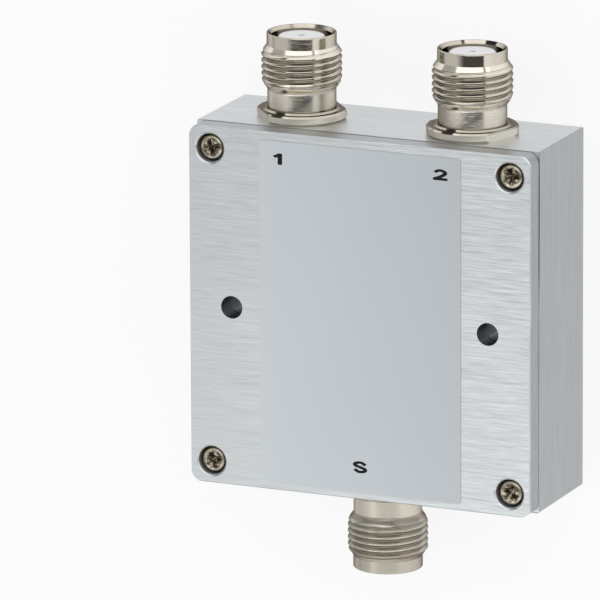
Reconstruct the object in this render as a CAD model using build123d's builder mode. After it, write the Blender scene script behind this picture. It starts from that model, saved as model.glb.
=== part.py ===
from build123d import *
from math import cos, radians, sin
import os

# Two-way coaxial power splitter in millimetres. It lies on its back: X runs along the width, Y
# from port S up to ports 1 and 2, Z from the mounting face up to the cover plate. The origin is
# the middle of the mounting face.

# Case
body_size = 50.8
body_depth = 16.05
cover_thickness = 3.0
cover_inset = 0.05
cover_corner_radius = 1.5
cover_edge_chamfer = 0.15
body_edge_chamfer = 0.15
side_wall = 3.2
port_wall = 6.35
floor_thickness = 3.2
pocket_corner_radius = 3.0

# Holes through the case for mounting screws, set in from the sides
mount_hole_inset = 6.35
mount_hole_radius = 1.6
mount_boss_radius = 3.3

# Cover screws, set in from the edges
cover_screw_inset = 3.175
screw_radius = 1.1
screw_length = 8.0
screw_head_radius = 1.67
screw_head_height = 1.35
screw_head_fillet = 0.2
screw_head_sink = 0.45
counterbore_radius = 2.03
counterbore_chamfer = 0.22
screw_clearance = 0.15
thread_clearance = 0.03
tapped_depth_spare = 0.8
recess_span = 2.4
recess_slot = 0.55
recess_depth = 0.85
recess_taper = 9

# Label
label_width = 29.8
label_height = 48.6
label_thickness = 0.12
label_corner_radius = 0.4
label_shift_x = 0.2
label_shift_y = -0.15

# Ports: distance of the output ports from the centre line and height of every port axis
port_offset = 12.7
port_axis_height = 9.15

# Connector shell, from the wall outwards: a flange, a small coned step and then the neck
flange_radius = 6.35
flange_thickness = 1.3
flange_edge_chamfer = 0.25
flange_foot_chamfer = 0.3
flange_across_flats = 11.11
step_radius = 5.42
step_height = 0.25
neck_radius = 4.76
neck_end = 4.15
thread_radius = 5.556
thread_start = 5.2
thread_end = 9.25
lead_radius = 4.83
lead_start = 10.3
shell_height = 12.0
rim_chamfer = 0.15
mouth_bevel = 0.2
mouth_radius = 4.2
mouth_floor = 5.0
seat_floor = 1.5
bore_radius = 2.15
shank_radius = 4.2
shank_relief_radius = 3.95
shank_relief_length = 0.6

# Connector inserts
contact_radius = 0.65
contact_collar_radius = 1.1
contact_collar_length = 0.8
contact_tip_gap = 0.1
contact_tip_chamfer = 0.1
socket_radius = 0.4
socket_depth = 4.0
contact_tail = 3.4
front_insulator_radius = 3.25
front_insulator_chamfer = 0.2
entry_radius = 0.5
entry_lip = 0.8
insulator_sink = 0.55
rear_insulator_gap = 0.2
insert_clearance = 0.02

# Circuit board on four posts
board_thickness = 0.8
board_edge_gap = 0.5
foil_thickness = 0.07
solder_gap = 0.03
post_radius = 2.3
post_inset = 4.2
board_screw_radius = 0.8
board_screw_length = 4.0
board_screw_head_radius = 1.6
board_screw_head_height = 1.0
board_screw_slot = 0.45
ground_margin = 0.6

# Foil lines: wide ones for 50 ohms, narrow ones for the two quarter-wave arms
wide_line = 1.5
narrow_line = 0.8
line_inset = 0.9
junction_inset = 9.85
arm_inner = 2.6
arm_margin = 9.0
arm_pitch = 3.0
arm_rows = 4
resistor_rise = 6.6
resistor_length = 3.2
resistor_width = 1.6
resistor_height = 0.55
resistor_gap = 2.0
terminal_length = 0.5
terminal_step = 0.05

# Solder joint
solder_length = 2.2
solder_base = 2.2
solder_top = 1.5

# Heights and edges that follow from the sizes above
half_body = body_size / 2
case_depth = body_depth + cover_thickness
cover_size = body_size - 2 * cover_inset
pocket_half_x = half_body - side_wall
pocket_half_y = half_body - port_wall
mount_spacing = body_size - 2 * mount_hole_inset
cover_screw_spacing = body_size - 2 * cover_screw_inset
post_x = pocket_half_x - post_inset
post_y = pocket_half_y - post_inset
land_length = pocket_half_x - mount_spacing / 2
foil_top = port_axis_height - contact_radius - solder_gap
board_top = foil_top - foil_thickness
board_bottom = board_top - board_thickness
post_top = board_bottom - foil_thickness
counterbore_depth = screw_head_height + screw_head_sink
screw_head_bottom = case_depth - counterbore_depth

PORTS = {
    "1": {"x": -port_offset, "side": 1, "flat_turn": 140},
    "2": {"x": port_offset, "side": 1, "flat_turn": 20.5},
    "s": {"x": 0, "side": -1, "flat_turn": 65},
}

os.makedirs("parts", exist_ok=True)


def save(piece, name):
    """Label a finished piece and write it to its own file."""
    piece.part.label = name
    export_step(piece.part, f"parts/{name}.step")


def port_plane(port, turn=0.0):
    """Plane on the case wall at a port: its normal points out along the connector, and its
    first axis is turned from +X towards the cover."""
    return Plane(
        origin=(port["x"], port["side"] * half_body, port_axis_height),
        x_dir=(cos(radians(turn)), 0, sin(radians(turn))),
        z_dir=(0, port["side"], 0),
    )


def revolve_on_port(port, points):
    """Solid of revolution about a port's axis from (radius, distance from the wall) points."""
    port_face = port_plane(port)
    half_section = Plane(port_face.origin, x_dir=port_face.x_dir, z_dir=-port_face.y_dir)
    with BuildSketch(half_section) as profile:
        with BuildLine():
            Polyline(*points, close=True)
        make_face()
    revolve(profile.sketch, axis=Axis(port_face.origin, port_face.z_dir))


def mounting_lands(radius):
    """Take the half-round lands round the two mounting holes out of a pocket or board shape."""
    with GridLocations(mount_spacing, 0, 2, 1):
        Circle(radius, mode=Mode.SUBTRACT)
    with GridLocations(mount_spacing + land_length, 0, 2, 1):
        Rectangle(land_length, 2 * radius, mode=Mode.SUBTRACT)


# Housing: a block with a pocket milled from the front, its edges broken but for those under the
# cover. Half-round lands keep metal round the two mounting holes, four posts carry the board, and
# each port wall has a tapped hole.
with BuildPart() as housing:
    with BuildSketch():
        Rectangle(body_size, body_size)
    extrude(amount=body_depth)
    front_edges = housing.edges().group_by(Axis.Z)[-1]
    chamfer(housing.edges() - front_edges, length=body_edge_chamfer)

    with BuildSketch(Plane.XY.offset(floor_thickness)):
        RectangleRounded(2 * pocket_half_x, 2 * pocket_half_y, pocket_corner_radius)
        mounting_lands(mount_boss_radius)
    extrude(amount=body_depth - floor_thickness, mode=Mode.SUBTRACT)

    with BuildSketch(Plane.XY.offset(floor_thickness)):
        with GridLocations(2 * post_x, 2 * post_y, 2, 2):
            Circle(post_radius)
    extrude(amount=post_top - floor_thickness)
    with Locations(Plane.XY.offset(post_top)):
        with GridLocations(2 * post_x, 2 * post_y, 2, 2):
            Hole(board_screw_radius + thread_clearance, depth=board_screw_length)

    with Locations(Plane.XY.offset(body_depth)):
        with GridLocations(mount_spacing, 0, 2, 1):
            Hole(mount_hole_radius)
        with GridLocations(cover_screw_spacing, cover_screw_spacing, 2, 2):
            Hole(screw_radius + thread_clearance, depth=screw_length + tapped_depth_spare)

    for port in PORTS.values():
        with Locations(port_plane(port)):
            Hole(shank_radius + thread_clearance, depth=port_wall)
save(housing, "housing")

# Cover plate: rounded corners, a chamfered front edge, counterbored screw holes with a bright
# countersunk lip, and the two mounting holes.
with BuildPart() as cover_plate:
    with BuildSketch(Plane.XY.offset(body_depth)):
        RectangleRounded(cover_size, cover_size, cover_corner_radius)
    extrude(amount=cover_thickness)
    chamfer(cover_plate.faces().sort_by(Axis.Z)[-1].edges(), length=cover_edge_chamfer)
    with Locations(Plane.XY.offset(case_depth)):
        with GridLocations(mount_spacing, 0, 2, 1):
            Hole(mount_hole_radius)
        with GridLocations(cover_screw_spacing, cover_screw_spacing, 2, 2):
            CounterBoreHole(screw_radius + screw_clearance, counterbore_radius, counterbore_depth)
    chamfer(
        cover_plate.faces().sort_by(Axis.Z)[-1].edges().filter_by(GeomType.CIRCLE).filter_by(
            lambda edge: abs(edge.radius - counterbore_radius) < counterbore_chamfer
        ),
        length=counterbore_chamfer,
    )
save(cover_plate, "cover_plate")

# Cover screws: pan heads that sit on the counterbore floors, with a cross recess.
corners = {
    "top_left": (-1, 1),
    "top_right": (1, 1),
    "bottom_left": (-1, -1),
    "bottom_right": (1, -1),
}
for corner, (side_x, side_y) in corners.items():
    centre = (side_x * cover_screw_spacing / 2, side_y * cover_screw_spacing / 2)
    screw_seat = Plane(origin=(*centre, screw_head_bottom))
    with BuildPart() as cover_screw:
        with BuildSketch(screw_seat):
            Circle(screw_head_radius)
        extrude(amount=screw_head_height)
        fillet(cover_screw.edges().sort_by(Axis.Z)[-1], radius=screw_head_fillet)
        with BuildSketch(screw_seat):
            Circle(screw_radius)
        extrude(amount=body_depth - screw_length - screw_head_bottom)
        with BuildSketch(screw_seat.offset(screw_head_height)):
            Rectangle(recess_span, recess_slot)
            Rectangle(recess_slot, recess_span)
        extrude(amount=-recess_depth, taper=recess_taper, mode=Mode.SUBTRACT)
    save(cover_screw, f"cover_screw_{corner}")

# Label: one thin film on the cover plate.
with BuildPart() as label:
    with BuildSketch(Plane((label_shift_x, label_shift_y, case_depth))):
        RectangleRounded(label_width, label_height, label_corner_radius)
    extrude(amount=label_thickness)
save(label, "label")

# Connectors: a shell screwed into each port wall with its inserts and centre contact.
insulator_face = shell_height - insulator_sink
contact_tip = insulator_face - entry_lip - contact_tip_gap
rear_insulator_end = -port_wall - board_edge_gap + rear_insulator_gap
contact_end = rear_insulator_end - contact_tail
step_top = flange_thickness + step_height

for port_name, port in PORTS.items():
    with BuildPart() as shell:
        revolve_on_port(
            port,
            [
                (bore_radius, -port_wall),
                (shank_radius, -port_wall),
                (shank_radius, -shank_relief_length),
                (shank_relief_radius, -shank_relief_length),
                (shank_relief_radius, 0),
                (flange_radius - flange_foot_chamfer, 0),
                (flange_radius, flange_foot_chamfer),
                (flange_radius, flange_thickness - flange_edge_chamfer),
                (flange_radius - flange_edge_chamfer, flange_thickness),
                (step_radius, flange_thickness),
                (step_radius - step_height, step_top),
                (neck_radius, step_top),
                (neck_radius, neck_end),
                (thread_radius, thread_start),
                (thread_radius, thread_end),
                (lead_radius, lead_start),
                (lead_radius, shell_height - rim_chamfer),
                (lead_radius - rim_chamfer, shell_height),
                (mouth_radius + mouth_bevel, shell_height),
                (mouth_radius, shell_height - mouth_bevel),
                (mouth_radius, mouth_floor),
                (front_insulator_radius + insert_clearance, mouth_floor),
                (front_insulator_radius + insert_clearance, seat_floor),
                (bore_radius, seat_floor),
            ],
        )
        flat_depth = flange_radius - flange_across_flats / 2
        with BuildSketch(port_plane(port, port["flat_turn"])):
            with GridLocations(flange_across_flats + flat_depth, 0, 2, 1):
                Rectangle(flat_depth, 2 * flange_radius)
        extrude(amount=flange_thickness, mode=Mode.SUBTRACT)
    save(shell, f"shell_{port_name}")

    insert_bore = contact_radius + insert_clearance
    collar_bore = contact_collar_radius + insert_clearance
    collar_top = seat_floor + contact_collar_length
    with BuildPart() as front_insulator:
        revolve_on_port(
            port,
            [
                (collar_bore, seat_floor),
                (front_insulator_radius, seat_floor),
                (front_insulator_radius, insulator_face - front_insulator_chamfer),
                (front_insulator_radius - front_insulator_chamfer, insulator_face),
                (entry_radius, insulator_face),
                (entry_radius, insulator_face - entry_lip),
                (insert_bore, insulator_face - entry_lip),
                (insert_bore, collar_top),
                (collar_bore, collar_top),
            ],
        )
    save(front_insulator, f"front_insulator_{port_name}")

    with BuildPart() as rear_insulator:
        revolve_on_port(
            port,
            [
                (insert_bore, rear_insulator_end),
                (bore_radius - insert_clearance, rear_insulator_end),
                (bore_radius - insert_clearance, seat_floor),
                (insert_bore, seat_floor),
            ],
        )
    save(rear_insulator, f"rear_insulator_{port_name}")

    with BuildPart() as contact:
        revolve_on_port(
            port,
            [
                (0, contact_end),
                (contact_radius, contact_end),
                (contact_radius, seat_floor),
                (contact_collar_radius, seat_floor),
                (contact_collar_radius, collar_top),
                (contact_radius, collar_top),
                (contact_radius, contact_tip - contact_tip_chamfer),
                (contact_radius - contact_tip_chamfer, contact_tip),
                (socket_radius, contact_tip),
                (socket_radius, contact_tip - socket_depth),
                (0, contact_tip - socket_depth),
            ],
        )
    save(contact, f"contact_{port_name}")

    # Solder joint: a fillet of solder under the contact's tail, as wide at the foil as two tails.
    solder_middle = half_body + contact_end + solder_length / 2
    solder_plane = Plane(
        origin=(port["x"], port["side"] * solder_middle, foil_top),
        x_dir=(1, 0, 0),
        z_dir=(0, -1, 0),
    )
    with BuildPart() as solder_joint:
        with BuildSketch(solder_plane):
            with BuildLine():
                Polyline(
                    (-solder_base / 2, 0),
                    (solder_base / 2, 0),
                    (solder_top / 2, contact_radius + solder_gap),
                    (-solder_top / 2, contact_radius + solder_gap),
                    close=True,
                )
            make_face()
            with Locations((0, contact_radius + solder_gap)):
                Circle(contact_radius, mode=Mode.SUBTRACT)
        extrude(amount=solder_length / 2, both=True)
    save(solder_joint, f"solder_joint_{port_name}")


def board_outline(inset):
    """Board shape: the pocket's outline less a gap, with notches round the mounting lands."""
    RectangleRounded(
        2 * (pocket_half_x - inset),
        2 * (pocket_half_y - inset),
        pocket_corner_radius - inset,
    )
    mounting_lands(mount_boss_radius + inset)
    with GridLocations(2 * post_x, 2 * post_y, 2, 2):
        Circle(board_screw_radius + screw_clearance, mode=Mode.SUBTRACT)


with BuildPart() as circuit_board:
    with BuildSketch(Plane.XY.offset(board_bottom)):
        board_outline(board_edge_gap)
    extrude(amount=board_thickness)
save(circuit_board, "circuit_board")

# Ground plane: foil under the whole board, clamped between the board and its posts.
with BuildPart() as ground_plane:
    with BuildSketch(Plane.XY.offset(post_top)):
        board_outline(board_edge_gap + ground_margin)
    extrude(amount=foil_thickness)
save(ground_plane, "ground_plane")

# Copper pattern: the feed from port S splits into two folded quarter-wave arms. Each arm ends
# at one side of the resistor, where a wide line runs on to its output port.
line_end = pocket_half_y - board_edge_gap - line_inset
junction_y = junction_inset - pocket_half_y
arm_outer = pocket_half_x - arm_margin
resistor_y = junction_y + (arm_rows - 1) * arm_pitch + resistor_rise
arm_points = [(0, junction_y), (arm_outer, junction_y)]
for fold in range(1, arm_rows):
    row_y = junction_y + fold * arm_pitch
    row_ends = (arm_outer, arm_inner) if fold % 2 else (arm_inner, arm_outer)
    arm_points += [(x, row_y) for x in row_ends]
arm_points.append((arm_inner, resistor_y))

with BuildPart() as copper_pattern:
    with BuildSketch(Plane.XY.offset(board_top)):
        with BuildLine():
            Line((0, -line_end), (0, junction_y))
        trace(line_width=wide_line)
        with BuildLine():
            Polyline(*arm_points)
        trace(line_width=narrow_line)
        with BuildLine():
            Polyline((resistor_gap / 2, resistor_y), (port_offset, resistor_y), (port_offset, line_end))
        trace(line_width=wide_line)
        mirror(about=Plane.YZ)
    extrude(amount=foil_thickness)
save(copper_pattern, "copper_pattern")

# Chip resistor across the gap between the two arms, with wrapped end terminals.
with BuildPart() as isolation_resistor:
    with BuildSketch(Plane((0, resistor_y, foil_top + terminal_step))):
        Rectangle(resistor_length - terminal_length, resistor_width - 2 * terminal_step)
    extrude(amount=resistor_height - 2 * terminal_step)
    with BuildSketch(Plane((0, resistor_y, foil_top))):
        with GridLocations(resistor_length - terminal_length, 0, 2, 1):
            Rectangle(terminal_length, resistor_width)
    extrude(amount=resistor_height)
save(isolation_resistor, "isolation_resistor")

# Board screws: slotted pan heads down onto the board at its four posts.
post_places = [(x, y) for y in (post_y, -post_y) for x in (-post_x, post_x)]
for number, place in enumerate(post_places, start=1):
    head_seat = Plane(origin=(*place, board_top))
    with BuildPart() as board_screw:
        with BuildSketch(head_seat):
            Circle(board_screw_head_radius)
        extrude(amount=board_screw_head_height)
        with BuildSketch(head_seat):
            Circle(board_screw_radius)
        extrude(amount=-board_screw_length)
        with BuildSketch(head_seat.offset(board_screw_head_height)):
            Rectangle(2 * board_screw_head_radius, board_screw_slot)
        extrude(amount=-board_screw_head_height / 2, mode=Mode.SUBTRACT)
    save(board_screw, f"board_screw_{number}")
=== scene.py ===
from math import cos, pi, radians, sin

import bpy
from mathutils import Matrix, Vector


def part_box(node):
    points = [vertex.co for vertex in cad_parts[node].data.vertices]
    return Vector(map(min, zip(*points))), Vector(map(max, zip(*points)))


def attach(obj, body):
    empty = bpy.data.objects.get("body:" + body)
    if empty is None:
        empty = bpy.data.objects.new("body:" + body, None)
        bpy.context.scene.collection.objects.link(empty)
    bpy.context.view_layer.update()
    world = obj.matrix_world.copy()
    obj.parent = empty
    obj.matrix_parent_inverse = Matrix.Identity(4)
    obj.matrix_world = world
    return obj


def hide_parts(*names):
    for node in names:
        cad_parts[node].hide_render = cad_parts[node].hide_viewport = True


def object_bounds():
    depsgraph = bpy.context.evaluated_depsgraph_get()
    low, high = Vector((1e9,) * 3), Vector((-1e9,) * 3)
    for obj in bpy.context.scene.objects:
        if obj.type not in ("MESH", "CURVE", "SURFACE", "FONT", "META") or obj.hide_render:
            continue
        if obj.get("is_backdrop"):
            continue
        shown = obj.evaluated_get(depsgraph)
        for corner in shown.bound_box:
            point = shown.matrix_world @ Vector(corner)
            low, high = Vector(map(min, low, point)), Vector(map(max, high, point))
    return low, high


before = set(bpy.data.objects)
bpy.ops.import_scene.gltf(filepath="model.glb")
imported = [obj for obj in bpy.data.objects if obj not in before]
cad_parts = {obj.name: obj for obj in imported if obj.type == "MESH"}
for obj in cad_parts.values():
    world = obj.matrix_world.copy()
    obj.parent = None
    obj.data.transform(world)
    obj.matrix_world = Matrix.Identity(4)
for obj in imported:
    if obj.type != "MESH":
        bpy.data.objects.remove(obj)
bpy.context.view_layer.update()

# Housing
# The body of the splitter: one block of aluminium, milled out from the front, with the three port
# bores and two through holes. Its outside is linished: fine lines run along the width on the walls
# that carry ports, and along the height on the two plain side walls.
mm = 0.001


def far_corner(node):
    """The highest corner of a solid's box, in millimetres."""
    return [round(value / mm, 3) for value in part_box(node)[1]]


half_body, _, seam_height = far_corner("housing")
screw_inset = 3.175
screw_offset = half_body - screw_inset
counterbore_radius = 2.03
# The painted shade and the dullness of the counterbores reach down to just under the joint.
counterbore_shade_foot = 16.0
# A face looks along an axis when at least this much of its normal lies along it.
square_on = 0.7


class Wire:
    """A socket of a material. Arithmetic on it adds the Math nodes."""

    def __init__(self, tree, socket=None):
        self.tree = tree
        self.socket = socket

    def node(self, kind, settings, sockets, out=0):
        """Adds a node: its settings first, then the values or links of its sockets."""
        made = self.tree.nodes.new(kind)
        for name, value in settings.items():
            setattr(made, name, value)
        for name, value in sockets.items():
            if isinstance(value, Wire):
                self.tree.links.new(value.socket, made.inputs[name])
            else:
                made.inputs[name].default_value = value
        return Wire(self.tree, made.outputs[out] if made.outputs else None)

    def maths(self, operation, first, second=0.0):
        return self.node("ShaderNodeMath", {"operation": operation}, {0: first, 1: second})

    def __add__(self, other):
        return self.maths("ADD", self, other)

    def __sub__(self, other):
        return self.maths("SUBTRACT", self, other)

    def __rsub__(self, other):
        return self.maths("SUBTRACT", other, self)

    def __mul__(self, other):
        return self.maths("MULTIPLY", self, other)

    def __gt__(self, other):
        return self.maths("GREATER_THAN", self, other)

    def __abs__(self):
        return self.maths("ABSOLUTE", self)

    __radd__, __rmul__ = __add__, __mul__

    def rises(self, low, high):
        """Goes smoothly from 0 at low to 1 at high."""
        return self.node(
            "ShaderNodeMapRange",
            {"interpolation_type": "SMOOTHSTEP"},
            {"Value": self, "From Min": low, "From Max": high},
        )

    def falls(self, low, high):
        """Goes smoothly from 1 at low to 0 at high."""
        return 1 - self.rises(low, high)

    def diagonal(self, other):
        """The length of the diagonal over this run and another at right angles to it."""
        return self.maths("SQRT", self * self + other * other)

    def tint(self, first, second):
        """The first colour where this value is 0 and the second where it is 1."""
        # Sockets 6 and 7 of a Mix node take its colours, and its output 2 gives the mixed one.
        ends = [end if isinstance(end, Wire) else (*end, 1.0) for end in (first, second)]
        return self.node("ShaderNodeMix", {"data_type": "RGBA"}, {0: self, 6: ends[0], 7: ends[1]}, 2)

    def scaled(self, factor):
        """This colour or place, times a number."""
        return self.node("ShaderNodeVectorMath", {"operation": "SCALE"}, {0: self, 3: factor})

    def axes(self):
        return [self.node("ShaderNodeSeparateXYZ", {}, {0: self}, axis) for axis in range(3)]

    def vector(self, x, y, z):
        return self.node("ShaderNodeCombineXYZ", {}, {0: x, 1: y, 2: z})

    def noise(self, scale, detail=2.0, roughness=0.5):
        sockets = {"Vector": self, "Scale": scale, "Detail": detail, "Roughness": roughness}
        return self.node("ShaderNodeTexNoise", {}, sockets)


def blend(first, second, mask):
    """The first number where the mask is 0 and the second where it is 1."""
    return first + (second - first) * mask


def first_wire(owner):
    """Clears the nodes of a material or of the world and starts them anew."""
    owner.use_nodes = True
    owner.node_tree.nodes.clear()
    return Wire(owner.node_tree)


def new_material(name):
    """A bare material, and the place of each point in the object's frame, in millimetres."""
    made = bpy.data.materials.new(name)
    return made, first_wire(made).node("ShaderNodeTexCoord", {}, {}, "Object").scaled(1 / mm)


def surface(spot, base, metallic, roughness, height, depth, **fixed):
    """Closes a material: the height, over the given depth in millimetres, makes its bump."""
    bump = spot.node("ShaderNodeBump", {}, {"Strength": 1.0, "Distance": depth * mm, "Height": height})
    sockets = {"Base Color": base, "Metallic": metallic, "Roughness": roughness, "Normal": bump, **fixed}
    shader = spot.node("ShaderNodeBsdfPrincipled", {}, sockets)
    spot.node("ShaderNodeOutputMaterial", {}, {"Surface": shader})


def dress(name, material):
    """Gives a solid of the frame its finish."""
    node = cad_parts[name]
    node.data.materials.clear()
    node.data.materials.append(material)


def from_cover_screw(x, y):
    """How far a point is from the axis of the nearest cover screw."""
    across = abs(x) - screw_offset
    up = abs(y) - screw_offset
    return across.diagonal(up)


def linished(name, front, port_wall_shaded_tone, side_wall_shaded_tone, grain):
    """Brushed aluminium, with one tone for its front and darker copies as painted shade: one for the walls
    with ports and one for the others.
    """
    made, spot = new_material(name)
    x, y, z = spot.axes()
    normal_x, normal_y, normal_z = spot.node("ShaderNodeTexCoord", {}, {}, "Normal").axes()
    on_side = abs(normal_x) > square_on
    on_front = abs(normal_z) > square_on
    # The brushing is noise drawn out along the wall: fine lines over wider bands.
    along = blend(x, y, on_side)
    across = blend(y, x, on_side)
    fine = spot.vector(along * 0.21, across * 6.4, z * 6.4).noise(1.0, 2.0, 0.65)
    wide = spot.vector(along * 0.09, across * 2.1, z * 2.1).noise(1.0, 2.0, 0.5)
    cloud = spot.noise(0.06)
    contrast = (1.15 + x * on_front * 0.017) * grain
    streak = ((fine - 0.5) * 0.55 + (wide - 0.5) * 0.24) * contrast
    # Painted shade fills the joint between housing and cover, in patches, but little of it low on the side
    # walls.
    joint = abs(z - seam_height).falls(0.08, 0.2) * (1 - on_front)
    patches = spot.vector(along * 0.09, 0, 0).noise(1.0).rises(0.35, 0.6)
    tight = on_side * y.falls(4, 9) * 0.9
    joint_shade = joint * (0.6 + patches * 0.38) * (1 - tight)
    # Painted shade: a fine dark line runs along the lower edge of the front.
    lower_edge_shade = (y + half_body).falls(0.06, 0.22) * on_front * 0.65
    # A painted gradient of light makes the front lighter to the right and towards the top.
    light = 1 + streak + (cloud - 0.5) * 0.08 + (x * 0.0022 + y * 0.0015 + 0.03) * on_front
    light = light * (1 - joint_shade) * (1 - lower_edge_shade)
    # The counterbores get painted shade and are dull; the painted shade leaves out the outer part of their
    # lower walls, which face the light.
    bore = from_cover_screw(x, y).falls(counterbore_radius, counterbore_radius + 0.05)
    bore = bore * (z > counterbore_shade_foot)
    counterbore_shade = bore * (1 - normal_y.rises(-0.3, 0.4) * z.rises(17.8, 18.3))
    # The port walls and the side walls take darker copies of the front's tone, as painted shade.
    # A bevel that faces both the front and a side gets half of each tone.
    tone_by_facing = (on_front * (1 - on_side * 0.5)).tint(on_side.tint(port_wall_shaded_tone, side_wall_shaded_tone), front)
    tone = counterbore_shade.tint(tone_by_facing, cloud.tint((0.2, 0.175, 0.13), (0.42, 0.38, 0.3))).scaled(light)
    surface(spot, tone, 1.0, 0.36 + bore * 0.5 + (fine - 0.5) * 0.3, fine + wide * 0.6, 0.004)
    return made


body_metal = linished(
    "linished_aluminium",
    front=(0.7, 0.72, 0.73),
    port_wall_shaded_tone=(0.62, 0.645, 0.655),
    side_wall_shaded_tone=(0.395, 0.42, 0.425),
    grain=0.9,
)
dress("housing", body_metal)

# Cover plate
# A 3 mm aluminium plate that closes the pocket, held by four screws in counterbores and drilled
# through for the two mounting screws. Its front is brushed across the width, its sawn edge is darker, as
# painted shade.
cover_front = far_corner("cover_plate")[2]
cover_metal = linished(
    "cover_aluminium",
    front=(0.65, 0.681, 0.694),
    port_wall_shaded_tone=(0.4, 0.42, 0.44),
    side_wall_shaded_tone=(0.35, 0.375, 0.38),
    grain=1.25,
)
dress("cover_plate", cover_metal)

# Cover screws
# Four small machine screws with a cross recess, nickel plated, each sunk in its counterbore. The
# head is turned with a domed edge, the recess is punched into it.
screw_radius = 1.1
screw_length = 8.0
head_radius = 1.8
head_height = 1.35
head_top = cover_front - 0.45
recess_span = 2.6
recess_slot = 0.72
recess_depth = 0.9
recess_taper = 0.45
recess_cone_depth = 1.0
recess_cone_foot = 0.2
recess_cone_mouth = 0.85
proud = 0.05
weld_distance = 1e-7


def deselect():
    bpy.ops.object.select_all(action="DESELECT")


def pick(piece):
    """Makes a piece the only one that operators act on."""
    deselect()
    piece.select_set(True)
    bpy.context.view_layer.objects.active = piece


def apply_transform():
    bpy.ops.object.transform_apply(location=True, rotation=True, scale=True)


def weld():
    """Merges the points of the mesh in edit mode that lie on each other, and leaves all selected."""
    bpy.ops.mesh.select_all(action="SELECT")
    bpy.ops.mesh.remove_doubles(threshold=weld_distance)


def outlined(name, outline):
    """Draws a closed outline of (radius, height) in millimetres as edges, and stays in edit mode."""
    deselect()
    radius, height = outline[0]
    # The first point is a small plane merged to its middle.
    bpy.ops.mesh.primitive_plane_add(size=0.1 * mm, location=(radius * mm, height * mm, 0))
    piece = bpy.context.object
    piece.name = name
    apply_transform()
    bpy.ops.object.mode_set(mode="EDIT")
    bpy.ops.mesh.merge(type="CENTER")
    for (r0, h0), (r1, h1) in zip(outline, outline[1:] + outline[:1]):
        step = ((r1 - r0) * mm, (h1 - h0) * mm, 0)
        bpy.ops.mesh.extrude_region_move(TRANSFORM_OT_translate={"value": step})
    weld()
    return piece


def turned(name, outline, steps):
    """Turns a closed outline round the Y axis."""
    piece = outlined(name, outline)
    bpy.ops.mesh.spin(steps=steps, angle=2 * pi, center=(0, 0, 0), axis=(0, 1, 0))
    weld()
    bpy.ops.mesh.normals_make_consistent(inside=False)
    bpy.ops.object.mode_set(mode="OBJECT")
    return piece


def apply_modifier(piece, kind, **settings):
    bpy.context.view_layer.objects.active = piece
    added = piece.modifiers.new(kind.lower(), kind)
    for name, value in settings.items():
        setattr(added, name, value)
    bpy.ops.object.modifier_apply(modifier=added.name)


def cut(piece, cutter):
    """Takes the cutter's shape out of the piece and removes the cutter."""
    apply_modifier(piece, "BOOLEAN", operation="DIFFERENCE", solver="EXACT", object=cutter)
    bpy.data.objects.remove(cutter)


def place(piece, turn, at=(0, 0, 0)):
    """Turns a finished mesh and moves it to its place in millimetres, with the object left at the origin."""
    pick(piece)
    piece.matrix_world = Matrix.Translation(Vector(at) * mm) @ turn
    apply_transform()


def smooth(piece, angle):
    pick(piece)
    bpy.ops.object.shade_smooth_by_angle(angle=radians(angle))


def copy_of(piece, name):
    made = piece.copy()
    made.data = piece.data.copy()
    made.name = name
    bpy.context.scene.collection.objects.link(made)
    return made


def cross_cutter():
    """A cross of two tapered blades with a short cone between them, standing proud of height 0."""
    deselect()
    blades = []
    for turn in (0, 90):
        bpy.ops.mesh.primitive_cube_add(size=1, location=(0, 0, 0))
        blade = bpy.context.object
        blade.scale = (recess_span * mm, recess_slot * mm, (recess_depth + proud) * mm)
        blade.location = (0, 0, (proud - recess_depth) / 2 * mm)
        blade.rotation_euler = (0, 0, radians(turn))
        apply_transform()
        bpy.ops.object.mode_set(mode="EDIT")
        bpy.ops.mesh.select_all(action="DESELECT")
        bpy.ops.object.mode_set(mode="OBJECT")
        for face in blade.data.polygons:
            face.select = face.normal.z < -0.9
        bpy.ops.object.mode_set(mode="EDIT")
        bpy.ops.transform.resize(value=(recess_taper, recess_taper, 1))
        bpy.ops.object.mode_set(mode="OBJECT")
        blades.append(blade)
    bpy.ops.mesh.primitive_cone_add(
        vertices=24,
        radius1=recess_cone_foot * mm,
        radius2=recess_cone_mouth * mm,
        depth=(recess_cone_depth + proud) * mm,
        location=(0, 0, (proud - recess_cone_depth) / 2 * mm),
    )
    cone = bpy.context.object
    apply_transform()
    for blade in blades:
        apply_modifier(cone, "BOOLEAN", operation="UNION", solver="EXACT", object=blade)
        bpy.data.objects.remove(blade)
    return cone


screw_foot = -head_height - screw_length
# The edge of the head is domed, flatter towards the middle.
dome = [(head_radius, -0.5), (1.76, -0.33), (1.66, -0.19), (1.5, -0.09), (1.3, -0.03), (1.05, 0)]
screw_outline = [
    (0, screw_foot), (screw_radius - 0.25, screw_foot), (screw_radius, screw_foot + 0.25),
    (screw_radius, -head_height), (head_radius, -head_height), *dome, (0, 0),
]
cover_screw = turned("cover_screw", screw_outline, 64)
place(cover_screw, Matrix.Rotation(pi / 2, 4, "X"))
cut(cover_screw, cross_cutter())
apply_modifier(
    cover_screw, "BEVEL", width=0.03 * mm, segments=2, limit_method="ANGLE", angle_limit=radians(50)
)
smooth(cover_screw, 35)

plated, spot = new_material("plated_steel")
x, y, z = spot.axes()
grit = spot.noise(5.2, 3.0, 0.6)
stain = spot.noise(1.5, 3.0, 0.6)
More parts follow.
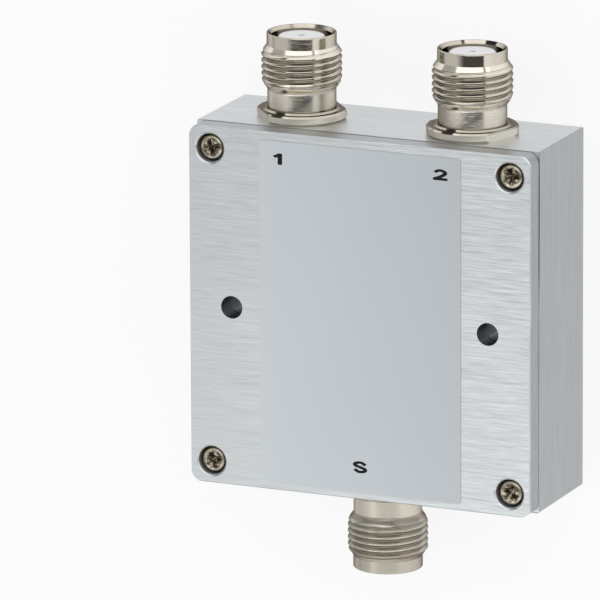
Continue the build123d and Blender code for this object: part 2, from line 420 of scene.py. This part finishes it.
# Painted shade darkens the screw below the top of its head, in patches: in the cross recess and down the
# dome's edge and sides. The flat middle of the head is darker in patches too.
recess_shade = (head_top - z).rises(0.08, 0.4) * (stain.rises(0.38, 0.56) * 0.6 + 0.38)
darker_head_middle = from_cover_screw(x, y).falls(1.05, 1.7) * stain.rises(0.43, 0.52) * 0.9
recess_shade_and_darker_middle = spot.maths("MAXIMUM", recess_shade, darker_head_middle)
tone = recess_shade_and_darker_middle.tint((0.6, 0.55, 0.45), (0.08, 0.06, 0.035))
surface(spot, tone, 1.0, 0.2 + stain * 0.16, grit + stain * 2, 0.012)

for corner, side_x, side_y, turn in (
    ("top_left", -1, 1, 17.5),
    ("top_right", 1, 1, 7),
    ("bottom_left", -1, -1, 19),
    ("bottom_right", 1, -1, 60),
):
    piece = copy_of(cover_screw, "screw_" + corner)
    at = (side_x * screw_offset, side_y * screw_offset, head_top)
    place(piece, Matrix.Rotation(radians(turn), 4, "Z"), at)
    piece.data.materials.append(plated)
    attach(piece, "root")
    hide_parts("cover_screw_" + corner)
bpy.data.objects.remove(cover_screw)

# Label
# A satin film, silver grey, stuck on the middle of the cover plate. The port marks are printed on
# it in black: a figure at each output and one letter at the common port.
label_front = far_corner("label")[2]
ink_thickness = 0.02
ink_sink = 0.005
stroke_radius = 0.18

film, spot = new_material("label_film")
x, y, z = spot.axes()
weave = spot.noise(9.0, 2.0, 0.7)
cloud = spot.noise(0.045)
# A painted gradient of light makes the film lighter to the left and towards the bottom.
light = 1 + (cloud - 0.5) * 0.05 + (weave - 0.5) * 0.06 - x * 0.005 - y * 0.0014
tone = cloud.tint((0.572, 0.613, 0.64), (0.572, 0.616, 0.647)).scaled(light)
surface(spot, tone, 0.0, 0.42 + weave * 0.12, weave, 0.0015)
dress("label", film)

ink, spot = new_material("printed_ink")
speck = spot.noise(12.0, 2.0, 0.6)
tone = speck.tint((0.004, 0.004, 0.005), (0.01, 0.01, 0.011))
surface(spot, tone, 0.0, 0.5 + speck * 0.2, speck, 0.001, **{"Specular IOR Level": 0.2})

# Each mark has its lower left corner, its width and height, and its strokes, given point by point.
marks = (
    ("mark_1", (-12.7, 20.9), 1.4, 1.6, [[(0.13, 1.1), (0.35, 1.2), (0.62, 1.5)], [(0.62, 1.6), (0.62, 0)]]),
    (
        "mark_2", (11.06, 20.95), 2.14, 1.57,
        [[(0.17, 1.12), (0.62, 1.4), (1.06, 1.08), (0.8, 0.66), (0.2, 0.2)], [(0.02, 0.17), (1.26, 0.17)]],
    ),
    (
        "mark_s", (-0.93, -21.6), 2.15, 1.7,
        [[(1.1, 1.2), (0.63, 1.52), (0.19, 1.2), (0.63, 0.86), (1.07, 0.5), (0.63, 0.18), (0.15, 0.52)]],
    ),
)
for mark, (left_edge, foot), width, height, strokes in marks:
    drawn = bpy.data.curves.new(mark, "CURVE")
    drawn.dimensions = "3D"
    drawn.bevel_depth = stroke_radius
    drawn.resolution_u = 16
    drawn.use_fill_caps = True
    for stroke in strokes:
        line = drawn.splines.new("BEZIER")
        line.bezier_points.add(len(stroke) - 1)
        for point, at in zip(line.bezier_points, stroke):
            point.co = (*at, 0)
            point.handle_left_type = point.handle_right_type = "AUTO"
    piece = bpy.data.objects.new(mark, drawn)
    bpy.context.scene.collection.objects.link(piece)
    pick(piece)
    bpy.ops.object.convert(target="MESH")
    piece = bpy.context.object
    low = Vector([min(v.co[i] for v in piece.data.vertices) for i in range(3)])
    high = Vector([max(v.co[i] for v in piece.data.vertices) for i in range(3)])
    size = high - low
    piece.data.transform(
        Matrix.Translation(Vector((left_edge, foot, label_front - ink_sink)) * mm)
        @ Matrix.Diagonal((width * mm / size.x, height * mm / size.y, ink_thickness * mm / size.z, 1))
        @ Matrix.Translation(-low)
    )
    piece.data.materials.append(ink)
    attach(piece, "root")

# Connector shells
# Three coaxial jacks turned from brass and nickel plated, each screwed into its wall by a threaded
# shank: a flange with two wrench flats, a neck, a 7/16-28 thread and a polished plain lead-in.
port_offset = 12.7
port_height = 9.15
wall_thickness = 6.35
shank_radius = 4.2
relief_radius = 3.95
relief_length = 0.6
flange_radius = 6.35
flange_top = 1.3
flange_flats = 11.11
step_radius = 5.42
step_top = 1.55
neck_radius = 4.76
thread_radius = 5.556
full_thread_start = 6.0
thread_end = 9.25
lead_radius = 4.83
lead_start = 10.3
shell_height = 12.0
mouth_radius = 4.2
mouth_floor = 5.0
seat_radius = 3.27
seat_floor = 1.5
bore_radius = 2.15

# The barrel swells from the neck to its first full thread in a curve given point by point.
barrel_foot = [
    (neck_radius, 4.0), (4.8, 4.14), (4.86, 4.28), (5.08, 4.57), (5.24, 4.8), (5.37, 5.04), (5.46, 5.28),
    (5.52, 5.52), (5.55, 5.76), (thread_radius, full_thread_start),
]
shell_outline = [
    (shank_radius, -wall_thickness), (shank_radius, -relief_length), (relief_radius, -relief_length),
    (relief_radius, 0), (flange_radius - 0.3, 0), (flange_radius, 0.3), (flange_radius, flange_top - 0.25),
    (flange_radius - 0.25, flange_top), (step_radius, flange_top), (step_radius - 0.25, step_top),
    (neck_radius, step_top), (neck_radius, 3.9), *barrel_foot, (thread_radius, thread_end),
    (lead_radius, lead_start), (lead_radius, shell_height - 0.2), (lead_radius, shell_height - 0.15),
    (lead_radius - 0.03, shell_height - 0.06), (lead_radius - 0.11, shell_height),
    (lead_radius - 0.25, shell_height), (mouth_radius, shell_height - 0.46), (mouth_radius, mouth_floor),
    (seat_radius, mouth_floor), (seat_radius, seat_floor), (bore_radius, seat_floor),
    (bore_radius, -wall_thickness),
]
shell = turned("shell", shell_outline, 128)

inch = 25.4
pitch = inch / 28
thread_turns = 9
groove_height = 3.1
# The groove starts a little round the barrel, so that its points don't fall on the barrel's.
groove_start = radians(0.47)
# One flank of the groove, from its root out past the crests. The other flank mirrors it.
flank = [(5.08, 0.02), (5.1, 0.06), (5.14, 0.1), (5.47, 0.285), (5.55, 0.385), (5.7, 0.43)]
groove = outlined("groove", [(radius, -height) for radius, height in flank[::-1]] + flank)
bpy.ops.object.mode_set(mode="OBJECT")
apply_modifier(
    groove, "SCREW", axis="Y", angle=2 * pi, screw_offset=pitch * mm, iterations=thread_turns, steps=96,
    render_steps=96, use_merge_vertices=False, use_smooth_shade=False,
)
bpy.ops.object.mode_set(mode="EDIT")
bpy.ops.mesh.select_all(action="SELECT")
bpy.ops.mesh.fill_holes(sides=0)
bpy.ops.mesh.normals_make_consistent(inside=False)
bpy.ops.object.mode_set(mode="OBJECT")
place(groove, Matrix.Rotation(groove_start, 4, "Y"), (0, groove_height, 0))
cut(shell, groove)


def nickel(name, axis_x, outward, marking, scuff, dullness_and_shade, cone_end, cone_tone):
    """Bright nickel over turned brass: its fine turning marks circle the jack's axis."""
    made, spot = new_material(name)
    x, y, z = spot.axes()
    across = x - axis_x
    up = z - port_height
    radius = across.diagonal(up)
    reach = y * outward - half_body
    turning = spot.vector((reach + radius) * 9, across * 0.06, up * 0.06).noise(1.0, 2.0, 0.6)
    lathe = spot.vector((reach + radius) * 24, across * 0.24, up * 0.24).noise(1.0, 2.0, 0.6)
    smear = spot.noise(0.9, 3.0, 0.6)
    peel = spot.noise(3.3)
    # The parts of the jack, from the wall outwards.
    rim = reach.falls(1.0, 1.1) * radius.rises(5.5, 5.56)
    ledge = reach.rises(flange_top - 0.06, flange_top - 0.02) * reach.falls(step_top + 0.03, step_top + 0.07)
    ledge = ledge * radius.rises(5.0, 5.1)
    neck = reach.rises(step_top, step_top + 0.2) * reach.falls(4.1, 4.3)
    cone = reach.rises(3.9, 4.05) * reach.falls(cone_end - 0.3, cone_end)
    root = radius.falls(5.12, 5.42) * reach.rises(5.1, 5.4) * reach.falls(9.3, 9.7)
    shoulder = reach.rises(thread_end - 0.05, thread_end + 0.05)
    shoulder = shoulder * reach.falls(lead_start - 0.05, lead_start + 0.05)
    lead_in = reach.rises(lead_start - 0.2, lead_start)
    thread = reach.rises(4.2, 4.5) * (1 - lead_in)
    # The tone of each part, then how dull it is, then the depth of its marks.
    plain = smear.tint((0.68, 0.635, 0.55), (0.62, 0.575, 0.49))
    # Painted shade darkens the thread roots, in patches, and the top of the flange with its step.
    root_and_ledge_shade = (root * (0.5 + smear * 0.4) + ledge * 0.4).tint(plain, (0.4, 0.37, 0.32))
    # Painted light makes the side of the flange lighter, and the neck a little lighter.
    rim_and_neck_lit = (rim + neck * 0.35).tint(root_and_ledge_shade, (0.9, 0.845, 0.74))
    # The cone and shoulder take a tone of their own: a painted highlight on the output jacks, painted shade
    # on port S.
    tone = (cone + shoulder).tint(rim_and_neck_lit, cone_tone).scaled(1 - (lead_in * 0.5 + 0.4) * dullness_and_shade)
    # Above, the dullness also darkens the tone as painted shade, most on the lead-in; here it makes the
    # nickel rougher.
    rough = 0.06 + (1 - thread * 0.5) * dullness_and_shade + smear * 0.08 + (turning - 0.5) * 0.08
    rough = rough + neck * 0.07 + rim * 0.34 + root * 0.16
    scratches = lathe * (neck * (9 * marking) + lead_in * (9 * scuff))
    height = turning * (0.5 + root * 2) + scratches + smear * 0.4 + peel * 1.6
    surface(spot, tone, 1.0, rough, height, 0.0022, **{"Specular Tint": (0.22, 0.21, 0.21, 1)})
    return made


camera_azimuth = 23.7
block_width = 16
block_height = 1.6
block_depth = 4
# Tones for the cone and shoulder: the first is a painted highlight, the second painted shade.
cone_highlight_tone = (0.86, 0.81, 0.71)
cone_shade_tone = (0.5, 0.44, 0.37)
# Each jack has the place of its axis, its side of the case, the turn of its flats in degrees, the
# height at which the picture shows a crest on the left edge of its barrel, and its finish.
jacks = (
    (
        "1", -port_offset, 1, 140, 8.02,
        {"marking": 0.7, "scuff": 0.5, "dullness_and_shade": 0.02, "cone_end": 5.2, "cone_tone": cone_highlight_tone},
    ),
    (
        "2", port_offset, 1, 20.5, 7.87,
        {"marking": 1.0, "scuff": 0.0, "dullness_and_shade": 0.0, "cone_end": 5.2, "cone_tone": cone_highlight_tone},
    ),
    (
        "s", 0, -1, 65, 7.78,
        {"marking": 0.15, "scuff": 0.0, "dullness_and_shade": 0.2, "cone_end": 4.9, "cone_tone": cone_shade_tone},
    ),
)
for port, axis_x, side, flats, crest, finish in jacks:
    piece = copy_of(shell, "jack_" + port)
    # The groove's middle is at groove_height on +X and climbs a pitch a turn, from +Z to +X to -Z.
    # The crest half a pitch above it is turned to where the picture shows one.
    climb = (crest - groove_height - pitch / 4) / pitch * 2 * pi
    place(piece, Matrix.Rotation(side * radians(camera_azimuth - 90) - climb - groove_start, 4, "Y"))
    # A block on each side of the flange, from just below its foot, mills off a flat.
    for half_turn in (0, pi):
        deselect()
        bpy.ops.mesh.primitive_cube_add(size=mm, location=(0, 0, 0))
        block = bpy.context.object
        beside = Vector((0, block_height / 2 - 0.2, (flange_flats + block_depth) / 2)) * mm
        turn = Matrix.Rotation(side * (pi / 2 - radians(flats) - half_turn), 4, "Y")
        size = Matrix.Diagonal((block_width, block_height, block_depth, 1))
        place(block, turn @ Matrix.Translation(beside) @ size)
        cut(piece, block)
    piece.data.materials.append(nickel("nickel_" + port, axis_x, side, **finish))
    place(piece, Matrix.Rotation(0 if side > 0 else pi, 4, "Z"), (axis_x, side * half_body, port_height))
    smooth(piece, 32)
    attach(piece, "root")
    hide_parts("shell_" + port)
bpy.data.objects.remove(shell)

# Inserts and contacts
# White fluoropolymer inserts pressed into the shells, front and rear, and the gold-plated centre
# contacts that run through them to the board.
white, spot = new_material("fluoropolymer")
mottle = spot.noise(2.5, 3.0, 0.6)
tone = mottle.tint((0.84, 0.84, 0.855), (0.9, 0.9, 0.91))
surface(spot, tone, 0.0, 0.35 + mottle * 0.15, mottle, 0.004)
gold, spot = new_material("gold_plate")
mottle = spot.noise(4.0, 3.0, 0.6)
tone = mottle.tint((0.85, 0.62, 0.28), (0.9, 0.68, 0.34))
surface(spot, tone, 1.0, 0.18 + mottle * 0.12, mottle, 0.003)
for port in ("1", "2", "s"):
    dress("front_insulator_" + port, white)
    dress("rear_insulator_" + port, white)
    dress("contact_" + port, gold)

# Circuit board
# A glass-fibre board on four posts. Copper foil on its face forms the feed line, the two folded
# quarter-wave arms and the output lines, and one more sheet of foil under it is the ground.
weave_pitch = 0.5
laminate, spot = new_material("glass_laminate")
x, y, z = spot.axes()
weave = spot.maths("SINE", x * (2 * pi / weave_pitch)) * spot.maths("SINE", y * (2 * pi / weave_pitch))
mottle = spot.noise(0.4, 3.0, 0.6)
tone = (mottle * 0.7 + weave * 0.15).tint((0.035, 0.13, 0.05), (0.075, 0.22, 0.09))
surface(spot, tone, 0.0, 0.4 + mottle * 0.15, weave, 0.006)
dress("circuit_board", laminate)
copper, spot = new_material("copper_foil")
mottle = spot.noise(0.7, 3.0, 0.6)
grain = spot.noise(8.0, 2.0, 0.6)
tone = mottle.tint((0.78, 0.42, 0.27), (0.66, 0.33, 0.2))
surface(spot, tone, 1.0, 0.28 + mottle * 0.2, grain, 0.004)
dress("copper_pattern", copper)
dress("ground_plane", copper)

# Isolation resistor
# A chip resistor soldered across the two arms. It is a ceramic body under dark glaze, with tinned
# ends that sit on the foil.
glaze_reach = 1.1
glaze, spot = new_material("chip_glaze")
x, y, z = spot.axes()
mottle = spot.noise(3.0, 2.0, 0.6)
end = abs(x).rises(glaze_reach - 0.02, glaze_reach + 0.02)
tone = end.tint((0.02, 0.021, 0.024), (0.7, 0.7, 0.69))
surface(spot, tone, end, 0.3 + mottle * 0.2, mottle, 0.005)
dress("isolation_resistor", glaze)

# Solder joints
# A mound of tin solder over the tail of each centre contact, where it meets the foil. It is flowed
# on by hand, so its skin is a little uneven.
solder, spot = new_material("tin_solder")
mottle = spot.noise(1.8, 3.0, 0.6)
tone = mottle.tint((0.72, 0.73, 0.74), (0.6, 0.61, 0.63))
surface(spot, tone, 1.0, 0.22 + mottle * 0.25, mottle, 0.02)
for port in ("1", "2", "s"):
    dress("solder_joint_" + port, solder)

# Board screws
# Four slotted steel screws, zinc plated, that go through the corners of the board and hold it on
# the posts of the housing.
zinc, spot = new_material("zinc_plate")
mottle = spot.noise(2.2, 3.0, 0.6)
tone = mottle.tint((0.66, 0.67, 0.68), (0.5, 0.51, 0.53))
surface(spot, tone, 1.0, 0.25 + mottle * 0.2, mottle, 0.006)
for number in (1, 2, 3, 4):
    dress("board_screw_%d" % number, zinc)

# Floor
# A plain pale table top that the splitter lies on. It looks near white to the camera, and still
# takes the soft shadow of the case.
floor_radius = 3.0


def ray_is(start, *kinds):
    """1 for rays of these kinds, and 0 for all others."""
    rays = [start.node("ShaderNodeLightPath", {}, {}, "Is %s Ray" % kind) for kind in kinds]
    return start.maths("MINIMUM", sum(rays), 1.0)


deselect()
bpy.ops.mesh.primitive_circle_add(vertices=96, radius=floor_radius, fill_type="NGON", location=(0, 0, 0))
floor = bpy.context.object
floor.name = "floor"
paper = bpy.data.materials.new("pale_floor")
start = first_wire(paper)
matt = start.node("ShaderNodeBsdfDiffuse", {}, {"Color": (0.95, 0.95, 0.95, 1)})
glow = start.node("ShaderNodeEmission", {}, {"Color": (1, 1, 1, 1), "Strength": 1.0})
seen = ray_is(start, "Camera", "Glossy", "Transmission")
mixed = start.node("ShaderNodeMixShader", {}, {0: seen * 0.85, 1: matt, 2: glow})
start.node("ShaderNodeOutputMaterial", {}, {"Surface": mixed})
floor.data.materials.append(paper)
floor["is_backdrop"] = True

# Studio light
# A soft white tent round the table. A bright soft box hangs over the output ports, dark to its left,
# and a dark panel beside the camera gives the polished barrels their dark band.
world = bpy.data.worlds.new("studio")
bpy.context.scene.world = world
start = first_wire(world)
# The tent is set stretch by stretch: by the angle to the right of the cover's front, in degrees, and
# by y, which goes from -1 beyond port S to 1 beyond the output ports.
x, y, z = start.node("ShaderNodeTexCoord", {}, {}, "Generated").axes()
angle = start.maths("ARCTAN2", x, z) * (180 / pi)
# Round the front it is duller to the left than to the right, and low down it is even.
tent = blend(0.7, 1.4, angle.rises(-6, 0))
tent = blend(tent, 1.05, angle.rises(54, 59))
tent = blend(tent, 0.4, angle.falls(-86, -74))
tent = blend(tent, 1.1, y.falls(-0.5, -0.4))
# A dark panel stands beside the camera.
panel = angle.rises(-34, -3) * angle.falls(59.6, 60.6) * y.rises(-0.5, -0.4) * y.falls(0.05, 0.3)
tent = blend(tent, 0.08, panel)
# Above it is dark on the left, then comes the soft box, with a dark bar to its right.
left = blend(0.45, 0.03, (y - angle * 0.0057).rises(1.0, 1.07))
left = blend(left, 1.0, angle.falls(-128, -108))
above = blend(left, 1.3, (angle + y.rises(0.8, 0.9) * 24).rises(-44, -40))
above = blend(above, 0.1, angle.rises(67, 69))
above = blend(above, 1.3, (angle - y.rises(0.78, 0.82) * 9).rises(74, 76))
above = blend(above, 0.5, angle.rises(118, 128))
above = blend(above, 1.0, y.rises(0.9, 0.94))
lowered = y + 0.14 * angle.falls(-60, -46)
tent = blend(tent, above, lowered.rises(0.55, 0.68))
strength = blend(tent, 1.0, ray_is(start, "Camera", "Transmission"))
sky = start.node("ShaderNodeBackground", {}, {"Color": (1, 1, 1, 1), "Strength": strength})
start.node("ShaderNodeOutputWorld", {}, {"Surface": sky})

# Two soft lamps low in front: a long one that only port S mirrors, and one to its left for the cover.
for name, turn, height, width, tall, radiance in (
    ("port_lamp", 22, -0.133, 0.47, 0.06, 1.35),
    ("cover_lamp", -25, -0.13, 0.1, 0.15, 0.65),
):
    lamp = bpy.data.lights.new(name, "AREA")
    lamp.shape = "RECTANGLE"
    lamp.size = width
    lamp.size_y = tall
    lamp.energy = radiance * pi * width * tall
    stand = bpy.data.objects.new(name, lamp)
    bpy.context.scene.collection.objects.link(stand)
    stand.matrix_world = Matrix.Rotation(radians(turn), 4, "Y") @ Matrix.Translation((0, height, 0.3))

# Camera
# A long lens, to the right of the cover and a little above it, as in the photograph. It aims left
# of the case's middle, so that the case stands right of the picture's middle.
azimuth = radians(camera_azimuth)
elevation = radians(14.6)
roll = radians(-0.281)
distance = 1.3469
aim_left = 11.88
aim_up = 0.63
back = Vector((sin(azimuth) * cos(elevation), sin(elevation), cos(azimuth) * cos(elevation)))
level = Vector((0, 1, 0)).cross(back).normalized()
upright = back.cross(level)
right = cos(roll) * level + sin(roll) * upright
up = cos(roll) * upright - sin(roll) * level
target = Vector((0, 0, cover_front / 2 * mm)) - aim_left * mm * right + aim_up * mm * up
bpy.ops.object.camera_add(location=target + distance * back)
camera = bpy.context.object
camera.data.lens = 587.2
camera.data.sensor_width = 36
camera.data.clip_start = 0.1
camera.data.clip_end = 10
camera.rotation_euler = Matrix((right, up, back)).transposed().to_euler()
bpy.context.scene.camera = camera
bpy.context.scene.view_settings.view_transform = "Standard"

low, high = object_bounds()
